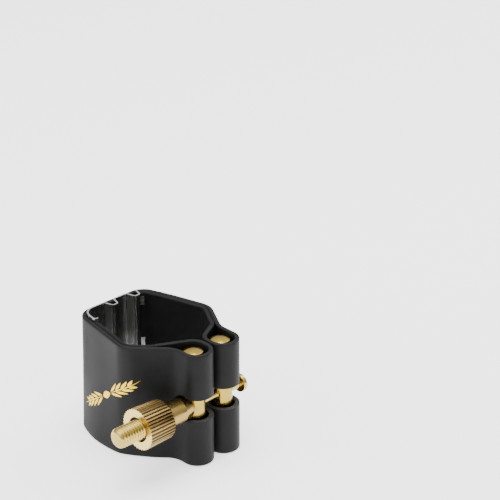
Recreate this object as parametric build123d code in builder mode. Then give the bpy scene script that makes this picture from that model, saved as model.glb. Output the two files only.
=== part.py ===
"""Saxophone ligature: a leather band with a loop at each end, a post in each loop, a sprung
pressure plate at the back and one clamping screw with a thumb nut.

Frame: +X runs along the clamping screw from the thumb nut to the screw's head, +Y runs from the
posts to the pressure plate and +Z runs up the mouthpiece bore.  The origin is on the plane of the
bottom rim, under the mouthpiece bore, midway between the posts.  Lengths are in millimetres and
angles in degrees.
"""

import os
from math import cos, pi, radians, sin

from build123d import *

# ---- leather band -----------------------------------------------------------------------------
strap_height = 29.0
leather = 1.1  # one layer
glue_line = 0.05
bend_gap = 0.5  # between two lengths of the band that turn against each other
bend_y = 7.3

# Corners of the band's outer outline seen from above.  The soft band sits a little lopsided.
near_back = Vector(-12.7, 14.3)
near_waist = Vector(-16.5, -6.5)
near_neck = Vector(-8.0, -14.8)
far_back = Vector(7.3, 14.3)
far_waist = Vector(13.8, -4.4)
far_neck = Vector(8.0, -13.6)
back_radius = 4.5
waist_radius = 5.0
neck_radius = 5.0
lining_start_x = 4.65

# Loops: two half rounds joined by short straights, each closed by a wall that folds back inside.
loop_x = 4.1
loop_radius = 3.9
loop_front_y = -18.2
loop_back_y = -16.95
loop_wrap = 63.0  # how far the back round turns before the fold leaves it
fold_margin = 1.2  # from the end of the fold to the lining's first bend
fold_bend_radius = 3.0

window_height = 5.6
nut_hole_radius = 3.25

# ---- posts, screw and thumb nut ---------------------------------------------------------------
screw_y = -17.75
screw_z = 14.6

post_x = 4.2
post_radius = 2.38  # 3/16 inch rod
post_top = 13.95  # above the screw, along the post
post_foot = 13.4  # below the screw
post_dome = 0.5
post_lean = 2.5  # tops towards the mouthpiece
slide_bore_radius = 1.20

shank_radius = 1.12
stud_radius = 2.41  # No. 10 thread
stud_tip_x = -28.3
stud_tip_round = 1.1
stud_end_x = -14.9
stud_end_length = 0.4  # of the shoulder down to the shank
head_x = 9.4
head_radius = 2.15
head_height = 1.9

knob_face_x = -21.8
knob_length = 7.6
knob_face_radius = 5.0
knob_rear_radius = 4.78
knob_rear_chamfer = 0.4
knurl_count = 38
knurl_depth = 0.3
knurl_tip = 0.1  # cut off the tips of the ridges
collar_radius = 3.0
collar_length = 5.0
nose_radius = 2.4
nose_bore_radius = 1.3
nut_bore_radius = 2.5
nut_bore_end_x = -9.4
nut_mouth_chamfer = 0.55

# ---- pressure plate ---------------------------------------------------------------------------
plate_thickness = 0.4
plate_foot = 0.5
plate_top = 29.7
near_ridge_x = -3.9
far_ridge_x = 2.95
ridge_base = 2.9
ridge_crest = 1.5
ridge_depth = 2.45
ridge_round = 0.6
curl_start_y = 8.75
curl_radius = 0.7
curl_turn = 120.0
tab_y = 11.75
tab_bend_x = 4.7
tab_end = (5.6, 11.2)
tab_spans = ((1.0, 3.0), (12.0, 17.2), (26.0, 28.1))

# ---- derived lines ----------------------------------------------------------------------------
outline = (
    Vector(-loop_x - loop_radius, loop_front_y),
    near_neck,
    near_waist,
    near_back,
    far_back,
    far_waist,
    far_neck,
    Vector(loop_x + loop_radius, loop_front_y),
)
plate_inset = leather + glue_line + plate_thickness / 2
lining_inset = leather * 1.5 + glue_line


def inset_corners(distance):
    """The six corners of the band's outline, moved inwards by a distance."""
    moved = []
    for before, corner, after in zip(outline, outline[1:], outline[2:]):
        inward = (corner - before).normalized().rotate(Axis.Z, -90)
        next_inward = (after - corner).normalized().rotate(Axis.Z, -90)
        shift = distance / (1 + inward.dot(next_inward))
        moved.append(corner + (inward + next_inward) * shift)
    return moved


def at_level(start, end, y):
    """The point at a given Y on the line through two points."""
    return start + (end - start) * ((y - start.Y) / (end.Y - start.Y))


def meeting_point(start, heading, line_start, line_end):
    """Where a line with a given start and heading meets the line through two points."""
    across = (line_end - line_start).rotate(Axis.Z, 90)
    return start + heading * ((line_start - start).dot(across) / heading.dot(across))


root_y = bend_y + bend_gap / 2
arm_y = bend_y - bend_gap / 2
skin_near_neck, skin_near_waist, skin_near_back, skin_far_back, skin_far_waist, skin_far_neck = (
    inset_corners(leather / 2)
)
near_neck_in, near_waist_in, near_back_in, far_back_in, far_waist_in, far_neck_in = (
    inset_corners(lining_inset)
)


def arm_sketches(side, bend, waist, neck, lining_bend, lining_waist, lining_neck):
    """Plan of one arm: its outer layer with the loop, and its lining (side -1 near, 1 far)."""
    middle_radius = loop_radius - leather / 2
    with BuildSketch() as skin:
        with BuildLine():
            flank = FilletPolyline(
                bend,
                waist,
                neck,
                (side * (loop_x + middle_radius), loop_front_y),
                radius=[waist_radius - leather / 2, neck_radius + leather / 2],
            )
            front = JernArc(flank @ 1, flank % 1, middle_radius, -side * 180)
            inside = Line(front @ 1, (side * (loop_x - middle_radius), loop_back_y))
            back = JernArc(inside @ 1, inside % 1, middle_radius, -side * loop_wrap)
            fold_start, heading = back @ 1, back % 1
            fold_corner = meeting_point(fold_start, heading, lining_neck, lining_waist)
            fold_end = fold_corner - heading * fold_margin
            Line(fold_start, fold_end)
        trace(line_width=leather)
    with BuildSketch() as lining:
        with BuildLine():
            FilletPolyline(
                fold_end + heading * glue_line,
                fold_corner,
                lining_waist,
                lining_bend,
                radius=[fold_bend_radius, waist_radius - lining_inset],
            )
        trace(line_width=leather)
    return skin.sketch, lining.sketch


near_skin, near_lining = arm_sketches(
    -1,
    at_level(skin_near_waist, skin_near_back, arm_y),
    skin_near_waist,
    skin_near_neck,
    at_level(near_waist_in, near_back_in, arm_y),
    near_waist_in,
    near_neck_in,
)
far_skin, far_lining = arm_sketches(
    1,
    at_level(skin_far_waist, skin_far_back, arm_y),
    skin_far_waist,
    skin_far_neck,
    at_level(far_waist_in, far_back_in, arm_y),
    far_waist_in,
    far_neck_in,
)

# The window runs through both sides of a loop and is open at the front; its back end is round.
with BuildSketch(Plane.YZ) as window:
    with Locations((screw_y, screw_z)):
        Circle(window_height / 2)
    with Locations((screw_y - 2 * loop_radius, screw_z)):
        Rectangle(4 * loop_radius, window_height)

# ---- outer layer of the band --------------------------------------------------------------------
with BuildPart() as outer_band_back:
    with BuildSketch():
        with BuildLine():
            FilletPolyline(
                at_level(skin_near_waist, skin_near_back, root_y),
                skin_near_back,
                skin_far_back,
                at_level(skin_far_waist, skin_far_back, root_y),
                radius=back_radius - leather / 2,
            )
        trace(line_width=leather)
    extrude(amount=strap_height)

with BuildPart() as outer_band_near_arm:
    add(near_skin)
    extrude(amount=strap_height)
    extrude(window.sketch, amount=2 * loop_x + loop_radius, both=True, mode=Mode.SUBTRACT)
    with BuildSketch(Plane.YZ.offset(-loop_x - loop_radius / 2)):
        with Locations((screw_y, screw_z)):
            Circle(nut_hole_radius)
    extrude(amount=-2 * loop_radius, mode=Mode.SUBTRACT)

with BuildPart() as outer_band_far_arm:
    add(far_skin)
    extrude(amount=strap_height)
    extrude(window.sketch, amount=2 * loop_x + loop_radius, both=True, mode=Mode.SUBTRACT)

# ---- lining -------------------------------------------------------------------------------------
with BuildPart() as lining_near_arm:
    add(near_lining)
    extrude(amount=strap_height)

with BuildPart() as lining_far_arm:
    add(far_lining)
    extrude(amount=strap_height)

with BuildPart() as lining_back:
    with BuildSketch():
        with BuildLine():
            FilletPolyline(
                (0, far_back_in.Y),
                far_back_in,
                at_level(far_waist_in, far_back_in, root_y),
                radius=back_radius - lining_inset,
            )
        trace(line_width=leather)
        with Locations((lining_start_x, far_back_in.Y)):
            Rectangle(2 * back_radius, 4 * leather, align=(Align.MAX, Align.CENTER), mode=Mode.SUBTRACT)
    extrude(amount=strap_height)

# ---- pressure plate -----------------------------------------------------------------------------
_, plate_waist, plate_corner, *_ = inset_corners(plate_inset)
plate_y = plate_corner.Y
crest_y = plate_y - ridge_depth

with BuildPart() as pressure_plate:
    with BuildSketch(Plane.XY.offset(plate_foot)):
        with BuildLine():
            sheet = FilletPolyline(
                at_level(plate_waist, plate_corner, curl_start_y),
                plate_corner,
                (near_ridge_x - ridge_base / 2, plate_y),
                (near_ridge_x - ridge_crest / 2, crest_y),
                (near_ridge_x + ridge_crest / 2, crest_y),
                (near_ridge_x + ridge_base / 2, plate_y),
                (far_ridge_x - ridge_base / 2, plate_y),
                (far_ridge_x - ridge_crest / 2, crest_y),
                (far_ridge_x + ridge_crest / 2, crest_y),
                (far_ridge_x + ridge_base / 2, plate_y),
                radius=[back_radius - plate_inset] + 7 * [ridge_round],
            )
            JernArc(sheet @ 0, (sheet % 0) * -1, curl_radius, curl_turn)
        trace(line_width=plate_thickness)
    extrude(amount=plate_top - plate_foot)
    for low, high in tab_spans:
        with BuildSketch(Plane.XY.offset(low)):
            with BuildLine():
                Polyline((far_ridge_x + ridge_crest / 2, tab_y), (tab_bend_x, tab_y), tab_end)
            trace(line_width=plate_thickness)
        extrude(amount=high - low)


# ---- posts --------------------------------------------------------------------------------------
lean_up = (0, sin(radians(post_lean)), cos(radians(post_lean)))
lean_front = (0, -cos(radians(post_lean)), sin(radians(post_lean)))

with BuildPart() as near_post:
    centre = (-post_x, screw_y, screw_z)
    with BuildSketch(Plane(origin=centre, x_dir=(1, 0, 0), z_dir=lean_front)):
        with BuildLine():
            top = TangentArc((0, post_top), (post_radius, post_top - post_dome), tangent=(1, 0))
            foot = TangentArc((0, -post_foot), (post_radius, post_dome - post_foot), tangent=(1, 0))
            Line(top @ 1, foot @ 1)
            Line(top @ 0, foot @ 0)
        make_face()
    revolve(axis=Axis(centre, lean_up))
    with BuildSketch(Plane.YZ):
        with Locations((screw_y, screw_z)):
            Circle(slide_bore_radius)
    extrude(amount=2 * post_x, both=True, mode=Mode.SUBTRACT)

with BuildPart() as far_post:
    centre = (post_x, screw_y, screw_z)
    with BuildSketch(Plane(origin=centre, x_dir=(1, 0, 0), z_dir=lean_front)):
        with BuildLine():
            top = TangentArc((0, post_top), (post_radius, post_top - post_dome), tangent=(1, 0))
            foot = TangentArc((0, -post_foot), (post_radius, post_dome - post_foot), tangent=(1, 0))
            Line(top @ 1, foot @ 1)
            Line(top @ 0, foot @ 0)
        make_face()
    revolve(axis=Axis(centre, lean_up))
    with BuildSketch(Plane.YZ):
        with Locations((screw_y, screw_z)):
            Circle(shank_radius)
    extrude(amount=2 * post_x, both=True, mode=Mode.SUBTRACT)

# ---- clamping screw and its head ------------------------------------------------------------------
# Turned profiles: X runs along the screw and Y is the distance from its axis.
turning_plane = Plane(origin=(0, screw_y, screw_z), x_dir=(1, 0, 0), z_dir=(0, -1, 0))
screw_axis = Axis((0, screw_y, screw_z), (1, 0, 0))
shank_end_x = head_x + head_height / 2

with BuildPart() as clamp_screw:
    with BuildSketch(turning_plane):
        with BuildLine():
            tip = TangentArc(
                (stud_tip_x + stud_tip_round, stud_radius),
                (stud_tip_x, stud_radius - stud_tip_round),
                tangent=(-1, 0),
            )
            Polyline(
                tip @ 0,
                (stud_end_x, stud_radius),
                (stud_end_x + stud_end_length, shank_radius),
                (shank_end_x, shank_radius),
                (shank_end_x, 0),
                (stud_tip_x, 0),
                tip @ 1,
            )
        make_face()
    revolve(axis=screw_axis)

with BuildPart() as screw_head:
    with BuildSketch(turning_plane):
        with BuildLine():
            crown = TangentArc(
                (head_x + head_height, 0),
                (head_x + head_height / 2, head_radius),
                tangent=(0, 1),
            )
            Polyline(
                crown @ 1,
                (head_x, head_radius),
                (head_x, shank_radius),
                (shank_end_x, shank_radius),
                (shank_end_x, 0),
                crown @ 0,
            )
        make_face()
    revolve(axis=screw_axis)

# ---- thumb nut ------------------------------------------------------------------------------------
knob_end_x = knob_face_x + knob_length
collar_end_x = knob_end_x + collar_length
nose_end_x = -post_x - post_radius - glue_line


def knurl_outline(x, radius):
    """The knurl's pointed ridges across the screw at one X."""
    step = pi / knurl_count
    reaches = (radius + knurl_tip, radius - knurl_depth)
    with BuildSketch(Plane.YZ.offset(x)) as ridges:
        with BuildLine():
            Polyline(
                *[
                    (screw_y + reaches[k % 2] * cos(k * step), screw_z + reaches[k % 2] * sin(k * step))
                    for k in range(2 * knurl_count)
                ],
                close=True,
            )
        make_face()
    return ridges.sketch


with BuildPart() as thumb_nut:
    with BuildSketch(turning_plane):
        with BuildLine():
            Polyline(
                (knob_face_x, 0),
                (knob_face_x, knob_face_radius),
                (knob_end_x - knob_rear_chamfer, knob_rear_radius),
                (knob_end_x, knob_rear_radius - knob_rear_chamfer),
                (knob_end_x, 0),
                close=True,
            )
        make_face()
    revolve(axis=screw_axis)
    add(knurl_outline(knob_face_x, knob_face_radius))
    add(knurl_outline(knob_end_x, knob_rear_radius))
    loft(ruled=True, mode=Mode.INTERSECT)
    with BuildSketch(turning_plane):
        with BuildLine():
            Polyline(
                (knob_end_x - knob_length / 2, 0),
                (knob_end_x - knob_length / 2, collar_radius),
                (collar_end_x, collar_radius),
                (nose_end_x, nose_radius),
                (nose_end_x, 0),
                close=True,
            )
        make_face()
    revolve(axis=screw_axis)
    with BuildSketch(turning_plane):
        with BuildLine():
            Polyline(
                (knob_face_x, 0),
                (knob_face_x, nut_bore_radius + nut_mouth_chamfer),
                (knob_face_x + nut_mouth_chamfer, nut_bore_radius),
                (nut_bore_end_x, nut_bore_radius),
                (nut_bore_end_x, nose_bore_radius),
                (nose_end_x, nose_bore_radius),
                (nose_end_x, 0),
                close=True,
            )
        make_face()
    revolve(axis=screw_axis, mode=Mode.SUBTRACT)

# ---- output ---------------------------------------------------------------------------------------
os.makedirs("parts", exist_ok=True)
outer_band_back.part.label = "outer_band_back"
export_step(outer_band_back.part, "parts/outer_band_back.step")
outer_band_near_arm.part.label = "outer_band_near_arm"
export_step(outer_band_near_arm.part, "parts/outer_band_near_arm.step")
outer_band_far_arm.part.label = "outer_band_far_arm"
export_step(outer_band_far_arm.part, "parts/outer_band_far_arm.step")
lining_back.part.label = "lining_back"
export_step(lining_back.part, "parts/lining_back.step")
lining_near_arm.part.label = "lining_near_arm"
export_step(lining_near_arm.part, "parts/lining_near_arm.step")
lining_far_arm.part.label = "lining_far_arm"
export_step(lining_far_arm.part, "parts/lining_far_arm.step")
pressure_plate.part.label = "pressure_plate"
export_step(pressure_plate.part, "parts/pressure_plate.step")
near_post.part.label = "near_post"
export_step(near_post.part, "parts/near_post.step")
far_post.part.label = "far_post"
export_step(far_post.part, "parts/far_post.step")
clamp_screw.part.label = "clamp_screw"
export_step(clamp_screw.part, "parts/clamp_screw.step")
screw_head.part.label = "screw_head"
export_step(screw_head.part, "parts/screw_head.step")
thumb_nut.part.label = "thumb_nut"
export_step(thumb_nut.part, "parts/thumb_nut.step")
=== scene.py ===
"""Looks for the saxophone ligature: leather band and lining, gold foil ornament, threaded screw."""

import math

import bmesh
import bpy
import numpy as np
from mathutils import Matrix, Vector, noise


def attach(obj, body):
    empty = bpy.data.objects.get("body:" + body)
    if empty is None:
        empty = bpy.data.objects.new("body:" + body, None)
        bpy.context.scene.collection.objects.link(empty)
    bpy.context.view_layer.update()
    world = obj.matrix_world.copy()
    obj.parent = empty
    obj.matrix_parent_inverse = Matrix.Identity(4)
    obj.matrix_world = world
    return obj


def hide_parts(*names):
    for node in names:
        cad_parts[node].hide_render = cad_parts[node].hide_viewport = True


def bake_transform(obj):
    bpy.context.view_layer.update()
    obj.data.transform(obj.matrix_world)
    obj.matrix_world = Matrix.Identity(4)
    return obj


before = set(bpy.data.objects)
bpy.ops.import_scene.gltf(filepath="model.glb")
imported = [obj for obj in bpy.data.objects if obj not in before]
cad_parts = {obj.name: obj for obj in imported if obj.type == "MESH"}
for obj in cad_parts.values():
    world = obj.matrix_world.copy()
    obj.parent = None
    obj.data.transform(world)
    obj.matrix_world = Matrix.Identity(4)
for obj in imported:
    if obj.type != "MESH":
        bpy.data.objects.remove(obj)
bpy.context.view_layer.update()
MM = 0.001

# ---- the band's plan, in millimetres, as in the CAD model ------------------------------------
HEIGHT = 29.0
LEATHER = 1.1
GLUE = 0.05
LINING_INSET = LEATHER * 1.5 + GLUE
NEAR_BACK, NEAR_WAIST, NEAR_NECK = (-12.7, 14.3), (-16.5, -6.5), (-8.0, -14.8)
FAR_BACK, FAR_WAIST, FAR_NECK = (7.3, 14.3), (13.8, -4.4), (8.0, -13.6)
BACK_R, WAIST_R, NECK_R = 4.5, 5.0, 5.0
LOOP_X, LOOP_R = 4.1, 3.9
LOOP_FRONT_Y, LOOP_BACK_Y = -18.2, -16.95
LOOP_WRAP = math.radians(63.0)
FOLD_MARGIN, FOLD_R = 1.2, 3.0
LINING_TOP_Y, LINING_END_X = 8.0, 4.65
SEAM_X = -0.5
SCREW_Y, SCREW_Z = -17.75, 14.6
WINDOW_HALF = 2.8
NUT_HOLE_R = 3.25
NUT_HOLE_X0, NUT_HOLE_X1 = -13.0, -6.05
WINDOW_REACH, WINDOW_PAST_MIDDLE, WINDOW_FRONT = 13.0, 0.12, -30.0
SHARP_ANGLE = math.radians(38)
STEP = 0.45


def vec(p):
    return np.array(p, dtype=float)


OUTLINE = [
    vec(p)
    for p in (
        (-LOOP_X - LOOP_R, LOOP_FRONT_Y),
        NEAR_NECK,
        NEAR_WAIST,
        NEAR_BACK,
        FAR_BACK,
        FAR_WAIST,
        FAR_NECK,
        (LOOP_X + LOOP_R, LOOP_FRONT_Y),
    )
]


def unit(v):
    return v / np.linalg.norm(v)


def inset_corners(distance):
    """The six corners of the band's outline, moved inwards by a distance."""
    moved = []
    for a, b, c in zip(OUTLINE, OUTLINE[1:], OUTLINE[2:]):
        d1, d2 = unit(b - a), unit(c - b)
        n1, n2 = vec((d1[1], -d1[0])), vec((d2[1], -d2[0]))
        moved.append(b + (n1 + n2) * distance / (1 + n1 @ n2))
    return moved


def rounded(points, radii):
    """A polyline with rounded corners as closely spaced points."""
    points = [vec(p) for p in points]
    out = [points[0]]
    for (a, b, c), r in zip(zip(points, points[1:], points[2:]), radii):
        d1, d2 = unit(b - a), unit(c - b)
        turn = math.atan2(d1[0] * d2[1] - d1[1] * d2[0], d1 @ d2)
        reach = r * math.tan(abs(turn) / 2)
        start = b - d1 * reach
        side = vec((-d1[1], d1[0])) * math.copysign(1, turn)
        centre = start + side * r
        count = max(6, int(abs(turn) * r / STEP) + 1)
        for k in range(count + 1):
            t = turn * k / count
            spoke = start - centre
            out.append(
                centre
                + vec(
                    (
                        spoke[0] * math.cos(t) - spoke[1] * math.sin(t),
                        spoke[0] * math.sin(t) + spoke[1] * math.cos(t),
                    )
                )
            )
    out.append(points[-1])
    return out


def arc(centre, radius, start, turn):
    count = max(8, int(abs(turn) * radius / STEP))
    angles = [start + turn * k / count for k in range(count + 1)]
    return [
        vec((centre[0] + radius * math.cos(a), centre[1] + radius * math.sin(a))) for a in angles
    ]


def resample(points):
    """Points at even spacing along a polyline."""
    points = np.array(points)
    keep = [0]
    for k in range(1, len(points)):
        if np.linalg.norm(points[k] - points[keep[-1]]) > 1e-4:
            keep.append(k)
    points = points[keep]
    lengths = np.r_[0, np.cumsum(np.linalg.norm(np.diff(points, axis=0), axis=1))]
    at = np.linspace(0, lengths[-1], int(lengths[-1] / STEP) + 1)
    return np.stack([np.interp(at, lengths, points[:, i]) for i in (0, 1)], -1)


def half_paths(side):
    """Centre lines of one half: the outer layer with its loop, and the lining."""
    skin, lining = inset_corners(LEATHER / 2), inset_corners(LINING_INSET)
    corners = (0, 1, 2) if side < 0 else (5, 4, 3)
    neck, waist, back = (skin[k] for k in corners)
    neck_in, waist_in, back_in = (lining[k] for k in corners)
    mid = LOOP_R - LEATHER / 2
    loop_side = vec((side * (LOOP_X + mid), LOOP_FRONT_Y))
    run = rounded(
        [(SEAM_X, back[1]), back, waist, neck, loop_side],
        [BACK_R - LEATHER / 2, WAIST_R - LEATHER / 2, NECK_R + LEATHER / 2],
    )
    begin = 0.0 if side > 0 else math.pi
    run += arc((side * LOOP_X, LOOP_FRONT_Y), mid, begin, -side * math.pi)[1:]
    begin = math.pi if side > 0 else 0.0
    back_round = arc((side * LOOP_X, LOOP_BACK_Y), mid, begin, -side * LOOP_WRAP)
    run += back_round
    fold_start = back_round[-1]
    heading = vec((side * math.sin(LOOP_WRAP), math.cos(LOOP_WRAP)))
    across = unit(waist_in - neck_in)
    across = vec((-across[1], across[0]))
    corner = fold_start + heading * ((neck_in - fold_start) @ across) / (heading @ across)
    fold_end = corner - heading * FOLD_MARGIN
    run.append(fold_end)
    if side < 0:
        share = (LINING_TOP_Y - waist_in[1]) / (back_in[1] - waist_in[1])
        top = waist_in + (back_in - waist_in) * share
        inner = rounded(
            [fold_end + heading * GLUE, corner, waist_in, top],
            [FOLD_R, WAIST_R - LINING_INSET],
        )
    else:
        inner = rounded(
            [fold_end + heading * GLUE, corner, waist_in, back_in, (LINING_END_X, back_in[1])],
            [FOLD_R, WAIST_R - LINING_INSET, BACK_R - LINING_INSET],
        )
    return resample(run), resample(inner)


def bump(value, centre, width):
    return math.exp(-(((value - centre) / width) ** 2))


def soft_shape(x, y, z):
    """The band's softness: the near wall flares low down and is drawn in at the waist, the far
    wall leans in at the top, and both wave slightly."""
    up = z / HEIGHT
    if x < 0:
        side = min(1.0, -x / 9.0)
        low_down = (1 - up) ** 1.3 * side
        drawn_in, flare = 1.2 * bump(y, -7.2, 3.0), 1.9 * bump(y, 5.0, 8.0)
        dx = (drawn_in - flare) * low_down
    else:
        dx = -0.7 * bump(y, -4.4, 8.0) * max(0.0, up - 0.2) * min(1.0, x / 8.0)
    away = min(1.0, max(0.0, (y + 14.0) / 4.0))
    wave = 0.09 * away * noise.noise(Vector((x * 0.09, y * 0.09, z * 0.07)))
    return x + dx + wave, y + wave, z


def swept_strip(name, path, rim):
    """A strip of leather stood on edge along a path, with rounded rims, as a closed mesh."""
    half, rows = LEATHER / 2, 30
    flat = HEIGHT - 2 * rim

    def corner(cx, cz, start):
        angles = [start + math.pi / 2 * k / 4 for k in range(5)]
        return [(cx + rim * math.cos(a), cz + rim * math.sin(a)) for a in angles]

    section = corner(half - rim, rim, -math.pi / 2)
    section += [(half, rim + flat * k / rows) for k in range(1, rows)]
    section += corner(half - rim, HEIGHT - rim, 0)
    section += corner(-half + rim, HEIGHT - rim, math.pi / 2)
    section += [(-half, HEIGHT - rim - flat * k / rows) for k in range(1, rows)]
    section += corner(-half + rim, rim, math.pi)
    n = len(section)
    tangents = np.gradient(path, axis=0)
    verts, faces, marks = [], [], []
    for p, t in zip(path, tangents):
        t = unit(t)
        normal = vec((-t[1], t[0]))
        for off, z in section:
            q = p + normal * off
            verts.append(soft_shape(q[0], q[1], z))
    for i in range(len(path) - 1):
        for k in range(n):
            a, b = i * n + k, i * n + (k + 1) % n
            faces.append((a, a + n, b + n, b))
            z0, z1 = section[k][1], section[(k + 1) % n][1]
            edge = min(z0, z1) >= HEIGHT - rim * 0.75 or max(z0, z1) <= rim * 0.75
            marks.append(1 if edge else 0)
    faces.append(tuple(range(n)))
    last = (len(path) - 1) * n
    faces.append(tuple(reversed(range(last, last + n))))
    marks += [1, 1]
    return make_piece(name, verts, faces, marks)


def make_piece(name, verts, faces, marks=None, smooth=True):
    """An object from points in millimetres, with its normals turned outwards."""
    mesh = bpy.data.meshes.new(name)
    mesh.from_pydata([tuple(c * MM for c in v) for v in verts], [], faces)
    if marks is not None:
        mesh.polygons.foreach_set("material_index", marks)
    mesh.validate()
    bm = bmesh.new()
    bm.from_mesh(mesh)
    bmesh.ops.recalc_face_normals(bm, faces=bm.faces)
    bm.to_mesh(mesh)
    bm.free()
    if smooth:
        mesh.polygons.foreach_set("use_smooth", [True] * len(mesh.polygons))
        mesh.set_sharp_from_angle(angle=SHARP_ANGLE)
    obj = bpy.data.objects.new(name, mesh)
    bpy.context.scene.collection.objects.link(obj)
    return obj


def prism(name, outline_yz, x0, x1):
    """A solid with a given outline in Y and Z, between two X planes."""
    n = len(outline_yz)
    verts = [(x0, y, z) for y, z in outline_yz] + [(x1, y, z) for y, z in outline_yz]
    faces = [tuple(range(n)), tuple(reversed(range(n, 2 * n)))]
    faces += [(k, (k + 1) % n, n + (k + 1) % n, n + k) for k in range(n)]
    return make_piece(name, verts, faces, [1] * (n + 2), smooth=False)


def carve(obj, cutter):
    """Cuts the cutter out of the object, and removes the cutter."""
    mod = obj.modifiers.new("carve", "BOOLEAN")
    mod.operation = "DIFFERENCE"
    mod.solver = "EXACT"
    mod.object = cutter
    apply_modifiers(obj)
    bpy.data.objects.remove(cutter, do_unlink=True)
    obj.data.polygons.foreach_set("use_smooth", [True] * len(obj.data.polygons))
    obj.data.set_sharp_from_angle(angle=SHARP_ANGLE)


def apply_modifiers(obj):
    graph = bpy.context.evaluated_depsgraph_get()
    mesh = bpy.data.meshes.new_from_object(obj.evaluated_get(graph))
    old = obj.data
    obj.modifiers.clear()
    obj.data = mesh
    bpy.data.meshes.remove(old)


def round_the_screw(radius, first, last):
    """Points in Y and Z on a circle about the screw's axis, between two angles in degrees."""
    turn = [math.radians(a) for a in range(first, last, 6)]
    return [(SCREW_Y + radius * math.cos(a), SCREW_Z + radius * math.sin(a)) for a in turn]


def window_outline(radius, front):
    """A slot with a round back end, open at the front."""
    back = round_the_screw(radius, -90, 91)
    return back + [(front, SCREW_Z + radius), (front, SCREW_Z - radius)]


# ---- materials -------------------------------------------------------------------------------
def material(name):
    mat = bpy.data.materials.new(name)
    mat.use_nodes = True
    tree = mat.node_tree
    tree.nodes.clear()
    out = tree.nodes.new("ShaderNodeOutputMaterial")
    shader = tree.nodes.new("ShaderNodeBsdfPrincipled")
    tree.links.new(shader.outputs[0], out.inputs[0])
    return mat, tree, shader


def add(tree, kind, **values):
    node = tree.nodes.new(kind)
    for key, value in values.items():
        if key in node.inputs:
            node.inputs[key].default_value = value
        else:
            setattr(node, key, value)
    return node


def coordinates(tree, scale=(1, 1, 1)):
    tc = add(tree, "ShaderNodeTexCoord")
    mapping = add(tree, "ShaderNodeMapping")
    mapping.inputs["Scale"].default_value = scale
    tree.links.new(tc.outputs["Object"], mapping.inputs[0])
    return mapping


def ramp(tree, source, stops):
    node = add(tree, "ShaderNodeValToRGB")
    items = node.color_ramp.elements
    while len(items) < len(stops):
        items.new(0.5)
    for item, (pos, colour) in zip(items, stops):
        item.position = pos
        item.color = (*colour, 1) if len(colour) == 3 else colour
    tree.links.new(source, node.inputs[0])
    return node


def leather(name, dark, light, rough, grain_size, grain_depth):
    """Finished leather: two sizes of grain, in millimetres, and slight tone variation."""
    mat, tree, shader = material(name)
    link = tree.links.new
    where = coordinates(tree)
    tone = add(tree, "ShaderNodeTexNoise", Scale=180.0, Detail=3.0)
    link(where.outputs[0], tone.inputs["Vector"])
    colour = ramp(tree, tone.outputs["Fac"], [(0.3, dark), (0.75, light)])
    link(colour.outputs[0], shader.inputs["Base Color"])
    cells = add(tree, "ShaderNodeTexVoronoi", Scale=1.0 / (grain_size * MM))
    cells.feature = "DISTANCE_TO_EDGE"
    link(where.outputs[0], cells.inputs["Vector"])
    fine = add(tree, "ShaderNodeTexNoise", Scale=6000.0, Detail=2.0)
    link(where.outputs[0], fine.inputs["Vector"])
    mix = add(tree, "ShaderNodeMath", operation="MULTIPLY_ADD")
    link(fine.outputs["Fac"], mix.inputs[0])
    mix.inputs[1].default_value = 0.25
    link(cells.outputs["Distance"], mix.inputs[2])
    relief = add(tree, "ShaderNodeBump", Strength=0.6, Distance=grain_depth * MM)
    link(mix.outputs[0], relief.inputs["Height"])
    link(relief.outputs[0], shader.inputs["Normal"])
    smoother, rougher = (rough - 0.05,) * 3, (rough + 0.06,) * 3
    roughness = ramp(tree, tone.outputs["Fac"], [(0.2, smoother), (0.8, rougher)])
    link(roughness.outputs[0], shader.inputs["Roughness"])
    shader.inputs["Specular IOR Level"].default_value = 0.14
    return mat


def cut_edge(name):
    """The dyed cut rim of the leather, with fibres showing."""
    mat, tree, shader = material(name)
    link = tree.links.new
    where = coordinates(tree)
    fibre = add(tree, "ShaderNodeTexNoise", Scale=2600.0, Detail=4.0, Roughness=0.7)
    link(where.outputs[0], fibre.inputs["Vector"])
    dyed, bare = (0.012, 0.012, 0.013), (0.055, 0.055, 0.054)
    colour = ramp(tree, fibre.outputs["Fac"], [(0.3, dyed), (0.72, bare)])
    link(colour.outputs[0], shader.inputs["Base Color"])
    relief = add(tree, "ShaderNodeBump", Strength=0.5, Distance=0.05 * MM)
    link(fibre.outputs["Fac"], relief.inputs["Height"])
    link(relief.outputs[0], shader.inputs["Normal"])
    shader.inputs["Roughness"].default_value = 0.6
    return mat


def metal(name, dark, light, rough, streak, depth):
    """Polished metal or foil: fine marks scaled by streak, depth millimetres deep, and tarnish."""
    mat, tree, shader = material(name)
    link = tree.links.new
    where = coordinates(tree, streak)
    marks = add(tree, "ShaderNodeTexNoise", Scale=30.0, Detail=3.0)
    link(where.outputs[0], marks.inputs["Vector"])
    plain = coordinates(tree)
    tone = add(tree, "ShaderNodeTexNoise", Scale=400.0, Detail=4.0)
    link(plain.outputs[0], tone.inputs["Vector"])
    colour = ramp(tree, tone.outputs["Fac"], [(0.3, dark), (0.7, light)])
    link(colour.outputs[0], shader.inputs["Base Color"])
    smoother, rougher = (rough - 0.06,) * 3, (rough + 0.08,) * 3
    roughness = ramp(tree, marks.outputs["Fac"], [(0.3, smoother), (0.75, rougher)])
    link(roughness.outputs[0], shader.inputs["Roughness"])
    relief = add(tree, "ShaderNodeBump", Strength=0.3, Distance=depth * MM)
    link(marks.outputs["Fac"], relief.inputs["Height"])
    link(relief.outputs[0], shader.inputs["Normal"])
    shader.inputs["Metallic"].default_value = 1.0
    return mat


KNOB_FACE_X, KNOB_END_X, KNOB_R = -21.8, -14.2, 5.0
# The knurl's painted shade: over this height above the groove's bottom, its colour goes from dark
# up to its lit crest colour.
GROOVE_DEPTH, GROOVE_SHADE_HEIGHT = 0.5, 0.45


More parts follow.
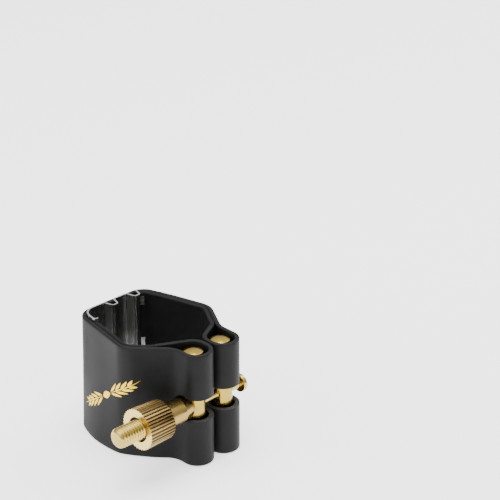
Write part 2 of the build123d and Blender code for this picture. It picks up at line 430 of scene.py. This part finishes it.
def nut_brass():
    """Turned brass with ring marks on its face, painted lighter on the face where it meets the
    light, and with painted shade in the knurl's grooves and the bore's countersink.
    """
    mat, tree, shader = material("nut_brass")
    link = tree.links.new
    where = coordinates(tree, (1 / MM,) * 3)
    parts = add(tree, "ShaderNodeSeparateXYZ")
    link(where.outputs[0], parts.inputs[0])

    def math_node(operation, a, b):
        node = add(tree, "ShaderNodeMath", operation=operation)
        for socket, value in zip(node.inputs, (a, b)):
            if isinstance(value, (int, float)):
                socket.default_value = value
            else:
                link(value, socket)
        return node.outputs[0]

    dy = math_node("SUBTRACT", parts.outputs[1], SCREW_Y)
    dz = math_node("SUBTRACT", parts.outputs[2], SCREW_Z)
    squares = [math_node("MULTIPLY", d, d) for d in (dy, dz)]
    radius = math_node("SQRT", math_node("ADD", *squares), 0)
    on_face = math_node("LESS_THAN", parts.outputs[0], KNOB_FACE_X + 0.02)
    on_knob = math_node("LESS_THAN", parts.outputs[0], KNOB_END_X - 0.02)
    above_groove = math_node("SUBTRACT", radius, KNOB_R - GROOVE_DEPTH)
    height = math_node("DIVIDE", above_groove, GROOVE_SHADE_HEIGHT)
    # Painted shade: the knurl is coloured darkest at the bottom of its grooves and inside the
    # bore's countersink, and lighter up to its crests.
    side = ramp(
        tree,
        height,
        [(0.0, (0.05, 0.03, 0.009)), (0.55, (0.19, 0.122, 0.042)), (1.0, (0.33, 0.225, 0.088))],
    )
    body = add(tree, "ShaderNodeMix", data_type="RGBA")
    link(on_knob, body.inputs[0])
    body.inputs[6].default_value = (0.34, 0.235, 0.07, 1)
    link(side.outputs[0], body.inputs[7])
    # Painted highlight: the flat face gets a much lighter brass than the body, standing in for the
    # light it catches.
    whole = add(tree, "ShaderNodeMix", data_type="RGBA")
    link(on_face, whole.inputs[0])
    link(body.outputs[2], whole.inputs[6])
    whole.inputs[7].default_value = (0.78, 0.58, 0.19, 1)
    link(whole.outputs[2], shader.inputs["Base Color"])
    rings = math_node("SINE", math_node("MULTIPLY", radius, 38.0), 0)
    relief = add(tree, "ShaderNodeBump", Strength=0.15, Distance=0.002 * MM)
    link(rings, relief.inputs["Height"])
    link(relief.outputs[0], shader.inputs["Normal"])
    tarnish = add(tree, "ShaderNodeTexNoise", Scale=500.0, Detail=3.0)
    plain = coordinates(tree)
    link(plain.outputs[0], tarnish.inputs["Vector"])
    rough = ramp(tree, tarnish.outputs["Fac"], [(0.3, (0.2,) * 3), (0.75, (0.32,) * 3)])
    link(rough.outputs[0], shader.inputs["Roughness"])
    shader.inputs["Metallic"].default_value = 1.0
    return mat


TURNED = (60, 60, 60)
SKIN = leather("skin_leather", (0.0045, 0.0045, 0.005), (0.009, 0.009, 0.0095), 0.5, 0.35, 0.02)
INSIDE = leather("lining_leather", (0.003, 0.003, 0.0033), (0.007, 0.007, 0.0074), 0.62, 0.55, 0.05)
EDGE = cut_edge("cut_leather_edge")
NICKEL = metal("nickel_plate", (0.56, 0.56, 0.55), (0.72, 0.72, 0.70), 0.2, (14, 14, 0.6), 0.0)
BRASS_POST = metal("post_brass", (0.36, 0.245, 0.04), (0.48, 0.34, 0.07), 0.2, TURNED, 0.002)
BRASS_SCREW = metal("screw_brass", (0.46, 0.335, 0.08), (0.60, 0.45, 0.13), 0.22, TURNED, 0.002)
BRASS_NUT = nut_brass()
FOIL = metal("gold_foil", (0.78, 0.50, 0.03), (0.95, 0.68, 0.06), 0.4, (300, 300, 300), 0.01)


def wear(obj, *mats):
    obj.data.materials.clear()
    for mat in mats:
        obj.data.materials.append(mat)


# ---- band and lining -------------------------------------------------------------------------
NAMES = {-1: ("near", "near_arm"), 1: ("far", "far_arm")}
PATHS = {side: half_paths(side) for side in (-1, 1)}

for side in (-1, 1):
    word, body = NAMES[side]
    run, inner = PATHS[side]
    band = swept_strip(f"leather_band_{word}", run, rim=0.28)
    wear(band, SKIN, EDGE)
    x0, x1 = sorted((side * WINDOW_REACH, -side * WINDOW_PAST_MIDDLE))
    carve(band, prism("cutter", window_outline(WINDOW_HALF, WINDOW_FRONT), x0, x1))
    if side < 0:
        hole = round_the_screw(NUT_HOLE_R, 0, 360)
        carve(band, prism("cutter", hole, NUT_HOLE_X0, NUT_HOLE_X1))
    lining = swept_strip(f"lining_{word}", inner, rim=0.3)
    wear(lining, INSIDE, EDGE)
    for piece, slot in ((band, "band_leather"), (lining, "lining_leather")):
        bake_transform(piece)
    if side < 0:
        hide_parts("outer_band_near_arm")
        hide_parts("lining_near_arm")
    else:
        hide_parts("outer_band_far_arm", "outer_band_back")
        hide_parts("lining_far_arm", "lining_back")

# ---- clamping screw --------------------------------------------------------------------------
STUD_R, SHANK_R = 2.41, 1.12
TIP_X, STUD_END, SHOULDER_END, SCREW_END = -28.3, -14.9, -14.5, 10.35
PITCH, THREAD_DEPTH = 0.794, 0.42
TIP_ROUND = 1.1
AROUND = 72


def screw_radius(x, angle):
    """The screw's radius: a rounded tip, a right-hand thread, a short cone and a plain shank."""
    if x > SHOULDER_END:
        return SHANK_R
    if x > STUD_END:
        return STUD_R + (SHANK_R - STUD_R) * (x - STUD_END) / (SHOULDER_END - STUD_END)
    phase = (x / PITCH - angle / (2 * math.pi)) % 1.0
    ridge = min(1.0, max(0.0, 1.18 - 2.36 * abs(phase - 0.5)))
    thread = STUD_R - THREAD_DEPTH * (1 - ridge)
    out = x - TIP_X
    if out < TIP_ROUND:
        dome = math.sqrt(max(0.0, TIP_ROUND**2 - (TIP_ROUND - out) ** 2))
        tip = STUD_R - TIP_ROUND + dome - 0.12 * (1 - out / TIP_ROUND)
        thread = min(thread, tip)
    return thread


stations = list(np.arange(TIP_X, STUD_END, PITCH / 12))
stations += [STUD_END, SHOULDER_END, SHOULDER_END + 0.02, -6, 0, 6, SCREW_END]
verts, faces = [], []
for x in stations:
    for angle in (2 * math.pi * k / AROUND for k in range(AROUND)):
        r = screw_radius(x, angle)
        verts.append((x, SCREW_Y + r * math.cos(angle), SCREW_Z + r * math.sin(angle)))
for i in range(len(stations) - 1):
    for k in range(AROUND):
        here, ahead, after = i * AROUND, (i + 1) * AROUND, (k + 1) % AROUND
        faces.append((here + k, here + after, ahead + after, ahead + k))
last = (len(stations) - 1) * AROUND
faces += [tuple(reversed(range(AROUND))), tuple(range(last, last + AROUND))]
screw = make_piece("threaded_screw", verts, faces)
wear(screw, BRASS_SCREW)
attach(screw, "far_post")
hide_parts("clamp_screw")

# ---- CAD nodes with better materials -----------------------------------------------------------
for node, mat in (
    ("pressure_plate", NICKEL),
    ("near_post", BRASS_POST),
    ("far_post", BRASS_POST),
    ("screw_head", BRASS_SCREW),
    ("thumb_nut", BRASS_NUT),
):
    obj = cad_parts[node]
    for k in range(len(obj.material_slots)):
        obj.material_slots[k].material = mat

# ---- gold foil ornament ------------------------------------------------------------------------
# A plain lozenge between pairs of leaves, laid on the near side of the band.
near_run = PATHS[-1][0]
near_lengths = np.r_[0, np.cumsum(np.linalg.norm(np.diff(near_run, axis=0), axis=1))]
FOIL_SINK, FOIL_LIFT, FOIL_CENTRE_S, FOIL_CENTRE_Z = -0.01, 0.02, 24.5, 14.0
LEAF_SPREAD = math.radians(32)
SLANT = math.radians(34)


def on_band(s, z, lift):
    """A point above the band's outer face, at a length along it and a height."""
    x, y = (np.interp(s, near_lengths, near_run[:, i]) for i in (0, 1))
    ahead = vec([np.interp(s + 0.2, near_lengths, near_run[:, i]) for i in (0, 1)])
    behind = vec([np.interp(s - 0.2, near_lengths, near_run[:, i]) for i in (0, 1)])
    t = unit(ahead - behind)
    normal = vec((t[1], -t[0]))
    q = vec((x, y)) + normal * (LEATHER / 2 + lift)
    return soft_shape(q[0], q[1], z)


def leaf(u0, v0, length, width, angle, curve):
    """A leaf shape: rows of left and right points from its foot to its tip."""
    rows = []
    for k in range(25):
        t = k / 24
        bend = curve * math.sin(math.pi * t / 2) * length
        half = width / 2 * math.sin(math.pi * t) ** 0.8 * (1 - 0.3 * t) if 0 < k < 24 else 0.0
        for side in (-1, 1):
            a, b = t * length, bend + side * half
            u = u0 + a * math.cos(angle) - b * math.sin(angle)
            v = v0 + a * math.sin(angle) + b * math.cos(angle)
            rows.append((u, v))
    return rows


ornament_verts, ornament_faces = [], []


def lay(rows):
    """Adds one leaf to the ornament, as a thin closed solid."""
    base = len(ornament_verts)
    for lift in (FOIL_SINK, FOIL_LIFT):
        for u, v in rows:
            ornament_verts.append(on_band(FOIL_CENTRE_S + u, FOIL_CENTRE_Z + v, lift))
    n = len(rows)
    for k in range(0, n - 2, 2):
        ornament_faces.append((base + n + k, base + n + k + 2, base + n + k + 3, base + n + k + 1))
        ornament_faces.append((base + k, base + k + 1, base + k + 3, base + k + 2))
        ornament_faces.append((base + k, base + k + 2, base + n + k + 2, base + n + k))
        ornament_faces.append((base + k + 1, base + n + k + 1, base + n + k + 3, base + k + 3))


def along(distance, across=0.0):
    """A point at a distance along the ornament's slanting axis."""
    return (
        distance * math.cos(SLANT) - across * math.sin(SLANT),
        distance * math.sin(SLANT) + across * math.cos(SLANT),
    )


lay(leaf(*along(-1.7), 3.4, 2.0, SLANT, 0.0))
for direction in (-1, 1):
    outward = SLANT if direction > 0 else SLANT + math.pi
    for start, size in ((2.2, 3.6), (4.4, 3.2), (6.5, 2.7), (8.4, 2.1)):
        for lean in (-1, 1):
            foot = along(direction * start, 0.22 * lean * direction)
            lay(leaf(*foot, size, 0.75, outward + lean * LEAF_SPREAD, -0.14 * lean))
    lay(leaf(*along(direction * 1.9), 10.2, 0.32, outward, 0.0))
foil = make_piece("gold_ornament", ornament_verts, ornament_faces, smooth=False)
wear(foil, FOIL)
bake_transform(foil)

# ---- camera, lights and floor ------------------------------------------------------------------
AZIMUTH, PITCH_DOWN = math.radians(43.5), math.radians(25.8)
CAMERA_AT = (-0.29254, -0.33994, 0.26281)
cam_data = bpy.data.cameras.new("camera")
cam_data.lens, cam_data.sensor_width = 154.8, 36.0
cam_data.clip_start, cam_data.clip_end = 0.01, 20
camera = bpy.data.objects.new("camera", cam_data)
bpy.context.scene.collection.objects.link(camera)
level = math.cos(PITCH_DOWN)
view = Vector((math.sin(AZIMUTH) * level, math.cos(AZIMUTH) * level, -math.sin(PITCH_DOWN)))
turn = view.to_track_quat("-Z", "Y").to_matrix().to_4x4()
camera.matrix_world = Matrix.Translation(CAMERA_AT) @ turn
bpy.context.scene.camera = camera

floor_mesh = bpy.data.meshes.new("floor")
floor_mesh.from_pydata([(-3, -3, 0), (3, -3, 0), (3, 3, 0), (-3, 3, 0)], [], [(0, 1, 2, 3)])
floor = bpy.data.objects.new("floor", floor_mesh)
bpy.context.scene.collection.objects.link(floor)
floor_mat, floor_tree, floor_shader = material("floor_paper")
floor_shader.inputs["Base Color"].default_value = (0.97, 0.97, 0.97, 1)
floor_shader.inputs["Emission Color"].default_value = (1, 1, 1, 1)
floor_shader.inputs["Emission Strength"].default_value = 1.1
floor_shader.inputs["Roughness"].default_value = 1.1
floor_shader.inputs["Specular IOR Level"].default_value = 0.1
floor_mesh.materials.append(floor_mat)
floor.location.z = -0.0001

world = bpy.data.worlds.new("studio")
world.use_nodes = True
sky = world.node_tree
sky_where = add(sky, "ShaderNodeTexCoord")
sky_parts = add(sky, "ShaderNodeSeparateXYZ")
sky.links.new(sky_where.outputs["Generated"], sky_parts.inputs[0])
greys = [(0.0, (0.3,) * 3), (0.25, (0.45,) * 3), (0.8, (1.0,) * 3)]
sky_tone = ramp(sky, sky_parts.outputs[2], greys)
sky.links.new(sky_tone.outputs[0], sky.nodes["Background"].inputs[0])
sky.nodes["Background"].inputs[1].default_value = 1.5
bpy.context.scene.world = world

RIGHT = Vector((math.cos(AZIMUTH), -math.sin(AZIMUTH), 0))
AWAY = Vector((math.sin(AZIMUTH), math.cos(AZIMUTH), 0))


def area_light(name, right, toward, up, size, energy):
    """A square light, placed in metres as the camera sees it, aimed at the object's middle."""
    light = bpy.data.lights.new(name, "AREA")
    light.shape, light.size, light.energy = "SQUARE", size, energy
    obj = bpy.data.objects.new(name, light)
    obj.location = RIGHT * right - AWAY * toward + Vector((0, 0, up))
    obj.rotation_euler = (Vector((0, 0, 0.015)) - obj.location).to_track_quat("-Z", "Y").to_euler()
    bpy.context.scene.collection.objects.link(obj)


area_light("key_left", -0.45, 0.25, 0.35, 0.6, 1.5)
area_light("top", 0.0, 0.0, 0.6, 0.4, 4.0)
area_light("back_right", 0.35, -0.3, 0.4, 0.25, 1.5)
